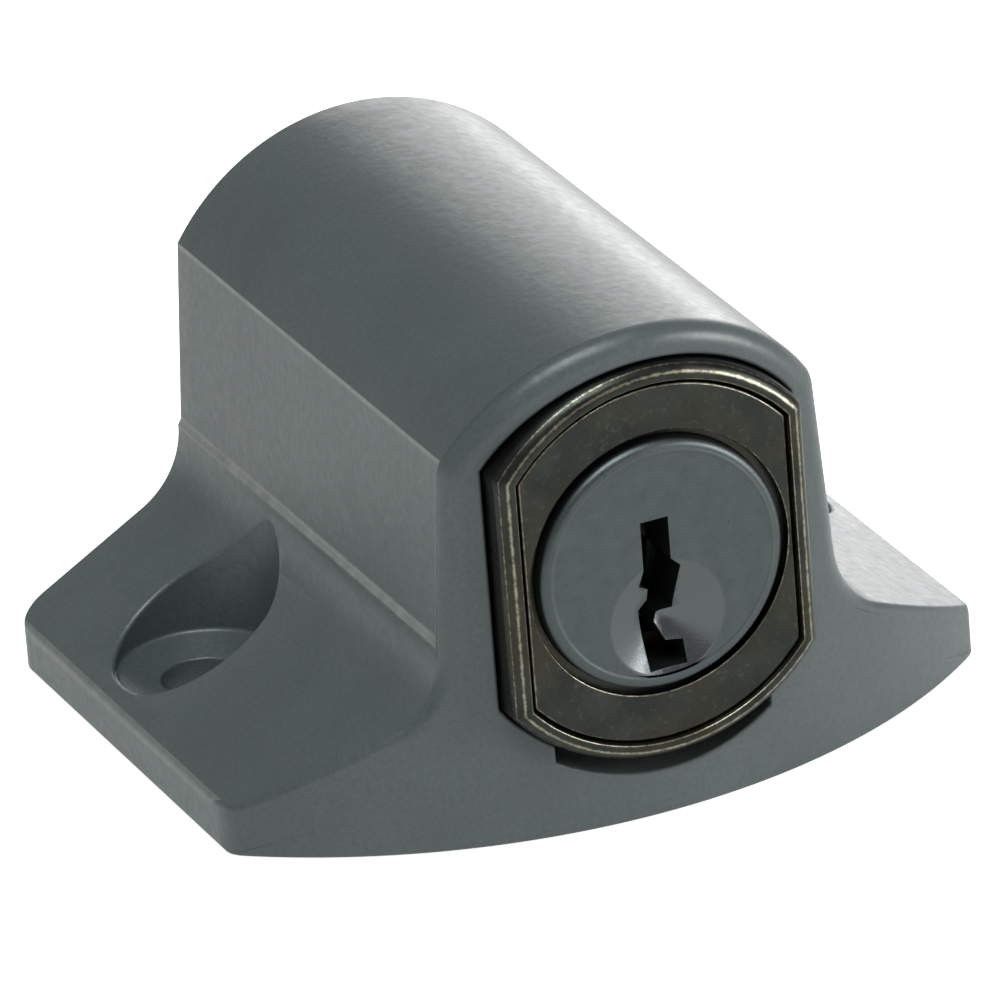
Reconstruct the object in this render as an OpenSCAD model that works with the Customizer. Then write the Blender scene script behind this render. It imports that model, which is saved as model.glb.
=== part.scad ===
// Surface-mounted keyed push lock for a sliding door or window.
// Millimetres. +Z is up from the mounting face, the key goes in towards +Y and the bolt leaves at +Y.
// The origin is midway between the two screw holes, on the mounting face.

/* [Housing] */
// Width of the mounting flange, side to side
flange_w = 42.6; // [40:0.2:52]
// Length of the housing, from the crown of its front face to its rear face
body_l = 35.5; // [30:0.5:44]
// Distance from the line of the screw holes to the rear face
rear_l = 12; // [9:0.5:14]
// Radius of the curved front face, seen from above
front_r = 32.2; // [30:0.2:60]
// Radius of the four vertical corners of the flange
corner_r = 1.75; // [1:0.25:2.5]
// Height of the upright edge at the tip of each flange
tip_h = 2.6; // [2.2:0.1:3.2]
// Bevel on the flange tip's top edge
tip_bevel = 0.3; // [0.2:0.05:0.5]
// Angle of the flange top above the horizontal
flange_slope = 28.8; // [24:0.2:31]
// Radius of the hollow sweep between flange and flank
sweep_r = 4.8; // [3.8:0.1:5.8]
// Height of the small ledge under the flat flank
ledge_h = 0.3; // [0.2:0.1:0.6]
// Depth of the small ledge under the flat flank
ledge_d = 0.22; // [0.1:0.02:0.4]
// Metal above the button's bore, at the crown
crown_wall = 1.6; // [1.2:0.1:2.4]
// Metal beside the button's bore, at the top edge of the flank
side_wall = 1.55; // [1.2:0.05:2.4]
// Lean of the flat flanks from the vertical
flank_lean = 4.2; // [2:0.2:5]
// Rise of the dome's centre above the lock's axis
dome_rise = 0.25; // [0:0.05:0.5]
// Metal left under the relief at the mouth of the bore
floor_t = 2.5; // [2.5:0.1:4]
// Thickness of the rear wall that carries the bolt
rear_wall = 3; // [2:0.25:4]

/* [Screw holes] */
// Distance between the two screw holes
screw_gap = 31.4; // [31:0.2:36]
// Radius of each screw hole
screw_r = 2.2; // [1.8:0.1:2.4]
// Radius of the recess for the screw head
recess_r = 4.5; // [4:0.1:4.5]
// Height of the seat's outer edge above the mounting face
seat_h = 2.9; // [2.5:0.1:3.4]
// Fall of the seat from its outer edge to the screw hole
seat_fall = 0.5; // [0.2:0.1:1]

/* [Button] */
// Radius of the button's round top and bottom
sleeve_r = 10.8; // [10.1:0.1:13]
// Width of the button across its flats
sleeve_w = 17.1; // [16.3:0.1:18.7]
// Gap between the button and its bore
bore_gap = 0.1; // [0.1:0.05:0.3]
// How far the rim stands out of the housing when the button is pushed in
rim_proud = 0.65; // [0.4:0.05:1]
// Width of the rim around the face plate
rim_w = 1.1; // [1:0.05:1.3]
// Rounding of the rim's outer edge
rim_round = 0.8; // [0.3:0.05:0.8]
// Step from the rim's crest down to the face plate
plate_step = 0.15; // [0.05:0.05:0.4]
// Bevel on both sides of the groove between rim and face plate
groove_bevel = 0.16; // [0.05:0.01:0.2]
// Thickness of the face plate
plate_t = 2.2; // [1.8:0.1:2.6]
// Wall of the sleeve around the cylinder body
sleeve_wall = 2.15; // [2:0.05:2.4]
// Side wall of the sleeve around the cylinder body
sleeve_side = 1.6; // [1.6:0.05:1.7]
// Length of the solid rear block of the sleeve
block_l = 8; // [7.5:0.25:9]
// Travel of the button
stroke = 10; // [8:0.5:10]
// Radius of the relief's floor, beyond the bore
relief_d = 0.8; // [0.4:0.1:1.2]
// Width of the relief under the button
relief_w = 12.1; // [10:0.1:13]
// Depth of the relief into the housing
relief_l = 4; // [2:0.5:5]

/* [Cylinder] */
// Radius of the plug's head
head_r = 6.75; // [6.5:0.05:6.8]
// Thickness of the plug's head
head_t = 2.1; // [1.8:0.1:2.3]
// Rounding of the head's front edge
head_round = 0.45; // [0.2:0.05:0.6]
// Gap around the plug's head
head_gap = 0.42; // [0.2:0.02:0.45]
// How far the plug's head stands out of the face plate
plug_proud = 0.35; // [0.2:0.05:0.7]
// Radius of the plug's barrel
barrel_r = 6; // [5.9:0.05:6.2]
// Length of the cylinder body behind the face plate's front
cylinder_l = 12; // [12:0.5:14]
// Running clearance of shafts in their bores, on the radius
running = 0.05; // [0.03:0.01:0.08]
// Clearance of pieces that are fixed together, on the radius
fixed_fit = 0.02; // [0.01:0.01:0.04]
// Radius of the key's cone-shaped lead-in
cone_r = 3.3; // [2.5:0.1:3.4]
// Depth of the key's lead-in
cone_d = 1.1; // [0.6:0.1:1.4]
// Drop of the lead-in's centre below the plug's axis
cone_drop = 3; // [2.6:0.1:3.1]

/* [Wafers] */
// Number of wafers
wafer_n = 5; // [4:1:5]
// Distance from one wafer to the next
wafer_pitch = 1.7; // [1.65:0.05:1.8]
// Thickness of a wafer
wafer_t = 0.9; // [0.7:0.05:1]
// Width of a wafer
wafer_w = 5.3; // [4.8:0.1:5.4]
// Travel of a wafer into the cylinder body
wafer_drop = 0.8; // [0.5:0.1:0.9]

/* [Catch] */
// Width of the catch's nose
nose_w = 6; // [5:0.2:7]
// Width of the catch's body
catch_w = 10; // [9.8:0.1:10.6]
// Thickness of the catch
catch_t = 2.8; // [2.4:0.1:2.9]
// Travel of the catch
catch_drop = 1.2; // [0.8:0.1:1.4]
// Distance of the cam's pin from the axis
cam_throw = 3.2; // [3.1:0.05:3.3]
// Radius of the cam's pin
cam_pin_r = 0.9; // [0.8:0.05:1]

/* [Bolt] */
// Radius of the bolt
bolt_r = 4; // [3.4:0.1:4.8]
// Length of the bolt out of the housing when the button is pushed in
bolt_out = 10; // [8:0.5:12]
// Bevel on the bolt's free end
bolt_bevel = 0.8; // [0.4:0.1:1.2]
// Wall of the bush around the bolt
bush_wall = 1; // [0.8:0.1:1.4]
// Radius of the cross pin through the bolt
cross_r = 1; // [0.8:0.1:1.2]
// Wire diameter of the return spring
wire_d = 0.9; // [0.7:0.1:1.1]
// Turns of the return spring
spring_turns = 6; // [5:0.5:6.5]
// Radius of the stop pin
stop_r = 1; // [0.8:0.1:1.2]

/* [Hidden] */
$fn = 96;

// Overshoot of every cutting shape
cut = 1;
// A length greater than the whole lock
big = 100;

// Housing
half_w = flange_w / 2;
front_y = rear_l - body_l;
bore_r = sleeve_r + bore_gap;
bore_hw = sleeve_w / 2 + bore_gap;
axis_h = bore_r + relief_d + floor_t;
dome_z = axis_h + dome_rise;
dome_r = bore_r + crown_wall - dome_rise;
flank_hw = bore_hw + side_wall;
crease_z = dome_z + sqrt(pow(dome_r, 2) - pow(flank_hw, 2));
wall_y = rear_l - rear_wall;
slope = tan(flange_slope);
function flank_x(z) = flank_hw + tan(flank_lean) * (crease_z - z);
function flange_z(x) = tip_h + slope * (half_w - x);
// The sweep's circle dips a hair below the flange's slope and touches the upright line at the ledge
sweep_dip = 0.03;
sweep_x = flank_x(axis_h - sweep_r / 2) + ledge_d;
sweep_cx = sweep_x + sweep_r;
sweep_cz = flange_z(sweep_cx) + (sweep_r - sweep_dip) / cos(flange_slope);
ledge_z = sweep_cz + ledge_h;
// The front corners' circles touch the front arc and the flange's side
corner_x = half_w - corner_r;
front_cy = front_y + front_r - sqrt(pow(front_r - corner_r, 2) - pow(corner_x, 2));
front_ca = atan2(front_cy - front_y - front_r, corner_x);

// Button, all places at rest, pushed in
rim_y = front_y - rim_proud;
plate_y = rim_y + plate_step;
plate_r = sleeve_r - rim_w;
plate_hw = sleeve_w / 2 - rim_w;
pocket_r = sleeve_r - sleeve_wall;
pocket_hw = sleeve_w / 2 - sleeve_side;
body_end = plate_y + cylinder_l;
cam_room = 2.5;
pocket_end = body_end + cam_room;
sleeve_end = pocket_end + block_l;
body_pin_r = 0.8;
body_pin_y = (plate_y + plate_t + body_end) / 2;

// Plug
head_y = plate_y - plug_proud;
barrel_y = head_y + head_t;
wafer_first = 0.95;
wafer_slack = 0.05;
keyway_end = barrel_y + wafer_first + wafer_pitch * (wafer_n - 1) + wafer_t;
function wafer_y(i) = barrel_y + wafer_first + wafer_pitch * i;
window_hw = 1.2;
window_low = -5;
window_top = 3;
ear_w = 1.5;
ear_low = -1.8;
ear_top = -0.9;
wafer_spring_x = wafer_w / 2 + 0.85;
wafer_spring_r = 0.62;
wafer_spring_wire = 0.22;
wafer_spring_turns = 7;
wafer_spring_top = 2.5;
spring_hole_r = wafer_spring_r + wafer_slack;
tail_w = 4;
tail_end = body_end + 1.05;

// Cam
cam_gap = 0.1;
cam_r = pocket_hw - 0.25;
cam_front = body_end + cam_gap;
cam_back = pocket_end - cam_gap;
cam_web = 0.4;
screw_seat = tail_end + 0.05 + cam_web;
screw_head_r = 1.8;
screw_head_t = 0.8;
screw_shank_r = 1;
screw_l = 2.4;
cam_pin_l = 4;
cam_pin_bite = 1.4;

// Catch
catch_slack = 0.1;
catch_y = pocket_end + catch_slack;
catch_slot_end = catch_y + catch_t + catch_slack;
nose_r = sleeve_r - 0.05;
nose_z = -nose_r;
shoulder_z = -6.2;
catch_top = 3;
notch_gap = 0.3;
window_gap = 0.2;
nose_bevel = 1;
catch_spring_r = 1.2;
catch_spring_wire = 0.35;
catch_spring_turns = 5;
catch_spring_top = 7.6;

// Bolt
bolt_seat = catch_slot_end + 0.8;
bolt_end = rear_l + bolt_out;
cross_y = (bolt_seat + sleeve_end) / 2;
cross_l = sleeve_w - 1;
bush_r = bolt_r + running + bush_wall;
washer_t = 0.5;
washer_r = bore_hw - 0.4;
washer_y = wall_y - washer_t;
spring_r = bolt_r + 1.8;
end_turn = 0.75;

// Stop pin, which stands in a slot of the sleeve as long as the stroke
stop_x = 5;
slot_gap = 0.12;
slot_end_wall = 1.4;
stop_y = sleeve_end - slot_end_wall - stop_r - slot_gap - stroke;
stop_bite = 0.8;
stop_top = axis_h - sqrt(pow(sleeve_r, 2) - pow(stop_x, 2)) + stop_bite;

housing_colour = [0.30, 0.33, 0.33];
nickel_colour = [0.27, 0.26, 0.23];
plug_colour = [0.36, 0.39, 0.41];
steel_colour = [0.62, 0.63, 0.64];
brass_colour = [0.75, 0.62, 0.32];

// ---- Shared shapes ----

// What lies outside a circle of radius r at c, between the directions a0 and a1
module outside_corner(c, r, a0, a1) {
  am = (a0 + a1) / 2;
  far = 3 * r;
  translate(c)
    difference() {
      polygon([[0, 0], far * [cos(a0), sin(a0)], far * [cos(am), sin(am)], far * [cos(a1), sin(a1)]]);
      circle(r);
    }
}

// A flat shape drawn in X and Z, carried along Y from y0 to y1
module along_y(y0, y1) {
  translate([0, y1, 0])
    rotate([90, 0, 0])
      linear_extrude(y1 - y0)
        children();
}

// A circle cut by two upright flats, centred on the lock's axis
module double_d(r, hw) {
  translate([0, axis_h])
    intersection() {
      circle(r);
      square([2 * hw, 2 * r + cut], center = true);
    }
}

// A round shaft or bore about a line parallel to Y, at height z above the lock's axis
module rod_y(r, y0, y1, x = 0, z = 0) {
  translate([x, y0, axis_h + z])
    rotate([-90, 0, 0])
      cylinder(r = r, h = y1 - y0);
}

// A ring about the lock's axis, from an outline of radius and Y
module turned(points) {
  translate([0, 0, axis_h])
    rotate([-90, 0, 0])
      rotate_extrude()
        polygon(points);
}

// The centre of a coil's wire, t turns from its start, with a closed turn at each end
function coil_z(t, turns, wire, len) =
  let (tight = wire * 1.12, open = (len - wire - 2 * end_turn * tight) / (turns - 2 * end_turn))
  wire / 2 + (t < end_turn ? t * tight
    : t > turns - end_turn ? len - wire - (turns - t) * tight
    : end_turn * tight + (t - end_turn) * open);

// A coil spring about Z, standing on Z = 0
module coil(r, wire, turns, len, steps = 20, sides = 8) {
  rings = floor(turns * steps);
  skin = [for (i = [0:rings], k = [0:sides - 1])
    let (t = i * turns / rings, a = 360 * t, b = 360 * k / sides,
      d = r + wire / 2 * cos(b))
    [d * cos(a), d * sin(a), coil_z(t, turns, wire, len) + wire / 2 * sin(b)]];
  quads = [for (i = [0:rings - 1], k = [0:sides - 1])
    let (n = (k + 1) % sides, p = i * sides, q = p + sides)
    [p + k, q + k, q + n, p + n]];
  polyhedron(skin, concat(
    quads,
    [[for (k = [0:sides - 1]) k]],
    [[for (k = [0:sides - 1]) rings * sides + sides - 1 - k]]), convexity = 10);
}

// ---- Housing ----

module section() {
  crown = dome_z + dome_r;
  // flanks, up to the dome's centre
  polygon([[-flank_x(0), 0], [flank_x(0), 0], [flank_x(dome_z), dome_z], [-flank_x(dome_z), dome_z]]);
  // dome, cut by the flanks
  intersection() {
    translate([0, dome_z])
      circle(dome_r);
    polygon([[-flank_x(0), 0], [flank_x(0), 0], [flank_x(crown), crown], [-flank_x(crown), crown]]);
  }
  for (s = [0, 1])
    mirror([s, 0])
      flange_side();
}

// Flange, sweep and ledge on the +X side
module flange_side() {
  bevel_x = half_w - tip_bevel;
  bevel_slope = 1 + slope;
  polygon([[0, 0], [half_w + cut, 0], [half_w + cut, tip_h - tip_bevel - bevel_slope * cut],
    [bevel_x, flange_z(bevel_x)], [sweep_x, flange_z(sweep_x)], [0, flange_z(sweep_x)]]);
  difference() {
    polygon([[0, 0], [sweep_cx, 0], [sweep_cx, flange_z(sweep_cx)], [sweep_cx, sweep_cz],
      [sweep_x, sweep_cz], [flank_x(ledge_z), ledge_z], [0, ledge_z]]);
    translate([sweep_cx, sweep_cz])
      circle(sweep_r);
    translate([sweep_cx, sweep_cz])
      rotate(-90 - flange_slope)
        square([sweep_r * 2, sweep_r * 2]);
  }
}

module plan() {
  difference() {
    intersection() {
      translate([-half_w, front_y - cut])
        square([flange_w, body_l + cut]);
      translate([0, front_y + front_r])
        circle(front_r, $fn = 240);
    }
    for (s = [0, 1])
      mirror([s, 0]) {
        outside_corner([corner_x, front_cy], corner_r, front_ca, 0);
        outside_corner([corner_x, rear_l - corner_r], corner_r, 0, 90);
      }
  }
}

module screw_cut() {
  rotate_extrude()
    polygon([[0, -cut], [screw_r, -cut], [screw_r, seat_h - seat_fall], [recess_r, seat_h],
      [recess_r, big], [0, big]]);
}

module housing() color(housing_colour)
  difference() {
    intersection() {
      along_y(front_y - cut, rear_l + cut)
        section();
      linear_extrude(dome_z + dome_r + cut)
        plan();
    }
    along_y(front_y - cut, wall_y)
      double_d(bore_r, bore_hw);
    // relief at the mouth of the bore
    along_y(front_y - cut, front_y + relief_l)
      intersection() {
        double_d(bore_r + relief_d, relief_w / 2);
        translate([-relief_w / 2, 0])
          square([relief_w, axis_h]);
      }
    // notch that the catch drops into
    translate([-nose_w / 2 - notch_gap, catch_y - notch_gap, axis_h + nose_z - catch_drop - notch_gap])
      cube([nose_w + 2 * notch_gap, catch_t + 2 * notch_gap, axis_h / 2]);
    rod_y(bush_r + fixed_fit, wall_y - cut, rear_l + cut);
    translate([stop_x, stop_y, -cut])
      cylinder(r = stop_r + fixed_fit, h = axis_h / 2);
    for (s = [-1, 1])
      translate([s * screw_gap / 2, 0, 0])
        screw_cut();
  }

module stop_pin() color(steel_colour)
  translate([stop_x, stop_y, 0])
    cylinder(r = stop_r, h = stop_top);

module rear_bush() color(brass_colour)
  difference() {
    rod_y(bush_r, wall_y, rear_l);
    rod_y(bolt_r + running, wall_y - cut, rear_l + cut);
  }

module spring_washer() color(steel_colour)
  difference() {
    rod_y(washer_r, washer_y, wall_y);
    rod_y(bolt_r + 4 * running, washer_y - cut, wall_y + cut);
  }

module return_spring() color(steel_colour)
  translate([0, sleeve_end, axis_h])
    rotate([-90, 0, 0])
      coil(spring_r, wire_d, spring_turns, washer_y - sleeve_end, 24);

// ---- Button ----

// A double-D bar whose front edge is rounded all the way round
module rounded_bar(r, hw, round, y0, y1) {
  intersection() {
    turned([[0, y0], [r - round, y0], [r - round, y0 + round], [r, y0 + round], [r, y1], [0, y1]]);
    along_y(y0, y1)
      double_d(r, hw);
  }
  rim_corner(r, hw, round, y0);
}

module rim_corner(r, hw, round, y0) {
  intersection() {
    union() {
      turned([[0, y0], [r - round, y0], [r - round, y0 + 2 * round], [0, y0 + 2 * round]]);
      translate([0, y0 + round, axis_h])
        rotate([-90, 0, 0])
          rotate_extrude()
            translate([r - round, 0])
              circle(round, $fn = 32);
    }
    union() {
      translate([-hw + round, y0, 0])
        cube([2 * (hw - round), 2 * round, 2 * axis_h]);
      for (s = [-1, 1])
        translate([s * (hw - round), y0 + round, 0])
          cylinder(r = round, h = 2 * axis_h, $fn = 32);
    }
    along_y(y0, y0 + round)
      double_d(r, hw);
  }
}

// The bevel that opens a pocket's mouth, as a widening of its outline
module pocket_mouth(r, hw, bevel, y0) {
  intersection() {
    turned([[0, y0 - cut], [r + bevel + cut, y0 - cut], [r + bevel, y0], [r, y0 + bevel], [0, y0 + bevel]]);
    linear_extrude(2 * axis_h)
      polygon([[-hw - bevel - cut, y0 - cut], [hw + bevel + cut, y0 - cut], [hw, y0 + bevel],
        [-hw, y0 + bevel]]);
  }
}

module button_sleeve() color(nickel_colour)
  difference() {
    rounded_sleeve();
    // seat of the face plate, then the pocket for the cylinder body and the cam
    along_y(rim_y - cut, plate_y + plate_t)
      double_d(plate_r + fixed_fit, plate_hw + fixed_fit);
    pocket_mouth(plate_r, plate_hw, groove_bevel, rim_y);
    along_y(rim_y, pocket_end)
      double_d(pocket_r + fixed_fit, pocket_hw + fixed_fit);
    // guide slot of the catch, open to the cam's room and at the bottom
    translate([-catch_w / 2 - catch_slack, pocket_end - cut, axis_h + shoulder_z - catch_drop - catch_slack])
      cube([catch_w + 2 * catch_slack, cut + catch_slot_end - pocket_end,
        catch_top - shoulder_z + catch_drop + 2 * catch_slack]);
    translate([-nose_w / 2 - catch_slack, pocket_end - cut, axis_h - sleeve_r - cut])
      cube([nose_w + 2 * catch_slack, cut + catch_slot_end - pocket_end, sleeve_r]);
    // well of the catch's spring
    translate([0, catch_y + catch_t / 2, axis_h + catch_top])
      cylinder(r = catch_spring_r + catch_slack, h = catch_spring_top - catch_top);
    rod_y(bolt_r + fixed_fit, bolt_seat, sleeve_end + cut);
    translate([-sleeve_w, cross_y, axis_h])
      rotate([0, 90, 0])
        cylinder(r = cross_r + fixed_fit, h = 2 * sleeve_w);
    translate([0, body_pin_y, axis_h])
      rotate([0, 90, 0])
        cylinder(r = body_pin_r + fixed_fit, h = sleeve_w);
    stop_slot();
  }

module rounded_sleeve() {
  along_y(rim_y + rim_round, sleeve_end)
    double_d(sleeve_r, sleeve_w / 2);
  rim_corner(sleeve_r, sleeve_w / 2, rim_round, rim_y);
}

// Slot in the underside, in which the stop pin stands
module stop_slot() {
  floor_z = stop_top + slot_gap;
  for (y = [stop_y, stop_y + stroke])
    translate([stop_x, y, 0])
      cylinder(r = stop_r + slot_gap, h = floor_z);
  translate([stop_x - stop_r - slot_gap, stop_y, 0])
    cube([2 * (stop_r + slot_gap), stroke, floor_z]);
}

module cylinder_body() color(nickel_colour)
  difference() {
    union() {
      intersection() {
        along_y(plate_y, plate_y + plate_t)
          double_d(plate_r, plate_hw);
        plate_bevel();
      }
      along_y(plate_y + plate_t - cut, body_end)
        double_d(pocket_r, pocket_hw);
    }
    rod_y(head_r + head_gap, plate_y - cut, barrel_y);
    rod_y(barrel_r + running, plate_y, body_end + cut);
    // groove that the wafers drop into
    translate([-wafer_w / 2 - 4 * wafer_slack, wafer_y(0) - 2 * wafer_slack,
      axis_h - barrel_r - wafer_drop - 6 * wafer_slack])
      cube([wafer_w + 8 * wafer_slack, wafer_pitch * (wafer_n - 1) + wafer_t + 4 * wafer_slack, barrel_r]);
    translate([0, body_pin_y, axis_h])
      rotate([0, 90, 0])
        cylinder(r = body_pin_r + fixed_fit, h = sleeve_w);
  }

// Everything behind the bevelled front edge of the face plate
module plate_bevel() {
  b = groove_bevel;
  intersection() {
    turned([[0, plate_y], [plate_r - b, plate_y], [plate_r, plate_y + b], [plate_r, plate_y + plate_t],
      [0, plate_y + plate_t]]);
    linear_extrude(2 * axis_h)
      polygon([[-plate_hw + b, plate_y], [plate_hw - b, plate_y], [plate_hw, plate_y + b],
        [plate_hw, plate_y + plate_t], [-plate_hw, plate_y + plate_t], [-plate_hw, plate_y + b]]);
  }
}

module body_pin() color(steel_colour)
  translate([barrel_r + 4 * running, body_pin_y, axis_h])
    rotate([0, 90, 0])
      cylinder(r = body_pin_r, h = sleeve_w / 2 - barrel_r - 5 * running);

module bolt() color(steel_colour)
  difference() {
    turned([[0, bolt_seat], [bolt_r, bolt_seat], [bolt_r, bolt_end - bolt_bevel],
      [bolt_r - bolt_bevel, bolt_end], [0, bolt_end]]);
    translate([-sleeve_w, cross_y, axis_h])
      rotate([0, 90, 0])
        cylinder(r = cross_r + fixed_fit, h = 2 * sleeve_w);
  }

module bolt_pin() color(steel_colour)
  translate([-cross_l / 2, cross_y, axis_h])
    rotate([0, 90, 0])
      cylinder(r = cross_r, h = cross_l);

// ---- Plug ----

// Outline of the keyway, about the plug's axis: a slot with a ward standing in from each side
module keyway() {
  top = 2.6;
  low = -5.75;
  left = -1.1;
  right = 0.45;
  wide = 1;
  ward = -0.35;
  polygon([[left, top], [right, top], [right, 0.25], [wide, -0.3], [wide - 0.3, -2.85], [-0.15, -3],
    [ward, -3.4], [0.1, -4.45], [wide, -4.55], [wide, low], [left, low], [left - 0.2, -2.45],
    [ward - 0.4, -2], [ward - 0.4, -1.35], [left - 0.2, -1], [left, -0.1]]);
}

module plug() color(plug_colour)
  difference() {
    union() {
      plug_head();
      rod_y(barrel_r, barrel_y - cut, body_end);
      translate([-tail_w / 2, body_end - cut, axis_h - tail_w / 2])
        cube([tail_w, tail_end - body_end + cut, tail_w]);
    }
    along_y(head_y - cut, keyway_end)
      translate([0, axis_h])
        keyway();
    // lead-in for the key
    translate([0, head_y, axis_h - cone_drop])
      rotate([-90, 0, 0])
        translate([0, 0, -cone_d])
          cylinder(r1 = 2 * cone_r, r2 = 0, h = 2 * cone_d);
    for (i = [0:wafer_n - 1])
      wafer_room(wafer_y(i));
    rod_y(screw_shank_r + fixed_fit, tail_end - screw_l, tail_end + cut);
  }

module plug_head() {
  r = head_r;
  q = head_round;
  difference() {
    rod_y(r, head_y, barrel_y);
    translate([0, head_y + q, axis_h])
      rotate([-90, 0, 0])
        rotate_extrude()
          translate([r - q, 0])
            difference() {
              translate([0, -q - cut])
                square([q + cut, q + cut]);
              circle(q, $fn = 48);
            }
  }
}

// Slot, ear slot and spring hole of the wafer whose front face is at y
module wafer_room(y) {
  yc = y + wafer_t / 2;
  t = wafer_t + 2 * wafer_slack;
  translate([-wafer_w / 2 - wafer_slack, yc - t / 2, axis_h - barrel_r - cut])
    cube([wafer_w + 2 * wafer_slack, t, 2 * (barrel_r + cut)]);
  translate([0, yc - t / 2, axis_h - barrel_r - cut])
    cube([wafer_w / 2 + ear_w + wafer_slack, t, barrel_r + cut + ear_top + wafer_slack]);
  translate([wafer_spring_x, yc, axis_h - barrel_r - cut])
    cylinder(r = spring_hole_r, h = barrel_r + cut + wafer_spring_top + wafer_slack);
}

module wafer(i) {
  y = wafer_y(i);
  color(brass_colour)
    difference() {
      union() {
        intersection() {
          translate([-wafer_w / 2, y, axis_h - barrel_r])
            cube([wafer_w, wafer_t, 2 * barrel_r]);
          rod_y(barrel_r - wafer_slack, y - cut, y + wafer_t + cut);
        }
        translate([0, y, axis_h + ear_low])
          cube([wafer_w / 2 + ear_w, wafer_t, ear_top - ear_low]);
      }
      translate([-window_hw, y - cut, axis_h + window_low])
        cube([2 * window_hw, wafer_t + 2 * cut, window_top - window_low]);
    }
}

module wafer_spring(i)
  color(steel_colour)
    translate([wafer_spring_x, wafer_y(i) + wafer_t / 2, axis_h + ear_top])
      coil(wafer_spring_r - wafer_spring_wire / 2, wafer_spring_wire, wafer_spring_turns,
        wafer_spring_top - ear_top, 12, 6);

// ---- Cam ----

module cam_disc() color(brass_colour)
  difference() {
    rod_y(cam_r, cam_front, cam_back);
    translate([-tail_w / 2 - fixed_fit, cam_front - cut, axis_h - tail_w / 2 - fixed_fit])
      cube([tail_w + 2 * fixed_fit, screw_seat - cam_web - cam_front + cut, tail_w + 2 * fixed_fit]);
    rod_y(screw_shank_r + fixed_fit, cam_front, cam_back + cut);
    rod_y(screw_head_r + 4 * fixed_fit, screw_seat, cam_back + cut);
    rod_y(cam_pin_r + fixed_fit, cam_back - cam_pin_bite, cam_back + cut, 0, -cam_throw);
  }

module cam_pin() color(steel_colour)
  rod_y(cam_pin_r, cam_back - cam_pin_bite, cam_back - cam_pin_bite + cam_pin_l, 0, -cam_throw);

module cam_screw() color(steel_colour)
  difference() {
    union() {
      rod_y(screw_head_r, screw_seat, screw_seat + screw_head_t);
      rod_y(screw_shank_r, tail_end - screw_l, screw_seat);
    }
    translate([-screw_head_r, screw_seat + screw_head_t / 2, axis_h - screw_head_r / 6])
      cube([2 * screw_head_r, screw_head_t, screw_head_r / 3]);
  }

// ---- Catch ----

module catch() color(steel_colour)
  difference() {
    union() {
      translate([-catch_w / 2, catch_y, axis_h + shoulder_z])
        cube([catch_w, catch_t, catch_top - shoulder_z]);
      intersection() {
        translate([-nose_w / 2, catch_y, axis_h + nose_z])
          cube([nose_w, catch_t, shoulder_z - nose_z]);
        rod_y(nose_r, catch_y - cut, catch_y + catch_t + cut);
      }
    }
    // window that the cam's pin turns in
    translate([-cam_throw - cam_pin_r - window_gap, catch_y - cut,
      axis_h - cam_throw - cam_pin_r - window_gap])
      cube([cam_throw + 2 * (cam_pin_r + window_gap), catch_t + 2 * cut,
        cam_throw + 2 * (cam_pin_r + window_gap)]);
    // bevel that lets the catch ride in over the housing's edge
    translate([-nose_w, catch_y + catch_t, axis_h + nose_z])
      rotate([45, 0, 0])
        cube([2 * nose_w, nose_bevel, nose_bevel]);
  }

module catch_spring() color(steel_colour)
  translate([0, catch_y + catch_t / 2, axis_h + catch_top])
    coil(catch_spring_r - catch_spring_wire / 2, catch_spring_wire, catch_spring_turns,
      catch_spring_top - catch_top, 16, 6);

housing();
stop_pin();
rear_bush();
spring_washer();
return_spring();
button_sleeve();
cylinder_body();
body_pin();
bolt();
bolt_pin();
plug();
wafer(0);  // wafer_1
wafer(1);  // wafer_2
wafer(2);  // wafer_3
wafer(3);  // wafer_4
wafer(4);  // wafer_5
wafer_spring(0);  // wafer_spring_1
wafer_spring(1);  // wafer_spring_2
wafer_spring(2);  // wafer_spring_3
wafer_spring(3);  // wafer_spring_4
wafer_spring(4);  // wafer_spring_5
cam_disc();
cam_pin();
cam_screw();
catch();
catch_spring();
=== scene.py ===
# A keyed push lock for a sliding door: an arched housing on a screw flange, with a flat-sided push
# button that carries the key cylinder, and a round bolt behind. Lengths are in millimetres until a
# mesh is made, in the frame of the CAD part: the lock's front looks along -Y and its base lies at Z 0.
import math

import bpy
import numpy as np
from mathutils import Matrix, Vector


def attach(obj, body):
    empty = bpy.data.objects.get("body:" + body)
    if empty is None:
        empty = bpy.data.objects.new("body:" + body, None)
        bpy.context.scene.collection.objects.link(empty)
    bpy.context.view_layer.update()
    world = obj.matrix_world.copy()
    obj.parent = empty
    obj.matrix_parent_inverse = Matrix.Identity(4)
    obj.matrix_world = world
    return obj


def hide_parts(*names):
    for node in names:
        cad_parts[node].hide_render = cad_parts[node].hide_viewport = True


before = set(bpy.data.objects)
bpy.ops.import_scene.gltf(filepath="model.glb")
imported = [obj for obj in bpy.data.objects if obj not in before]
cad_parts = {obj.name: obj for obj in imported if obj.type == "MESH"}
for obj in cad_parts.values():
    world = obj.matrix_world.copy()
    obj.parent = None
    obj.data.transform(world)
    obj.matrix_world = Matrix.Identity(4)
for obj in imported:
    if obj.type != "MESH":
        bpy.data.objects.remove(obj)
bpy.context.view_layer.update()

# ---------------------------------------------------------------------------------------------
# Housing: a zinc die casting, arched over the button, with hollow sweeps down to a screw flange
# and a front face curved in plan. It is powder coated in satin slate grey, which softens its
# edges, and two countersunk screws in the recesses hold it to the frame of the door.
MM = 0.001
HALF_W = 21.3
FRONT_Y, REAR_Y, WALL_Y = -23.5, 12.0, 9.0
FRONT_R, CORNER_R = 32.2, 1.75
AXIS_Z = 14.2
DOME_Z, DOME_R = 14.45, 12.25
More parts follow.
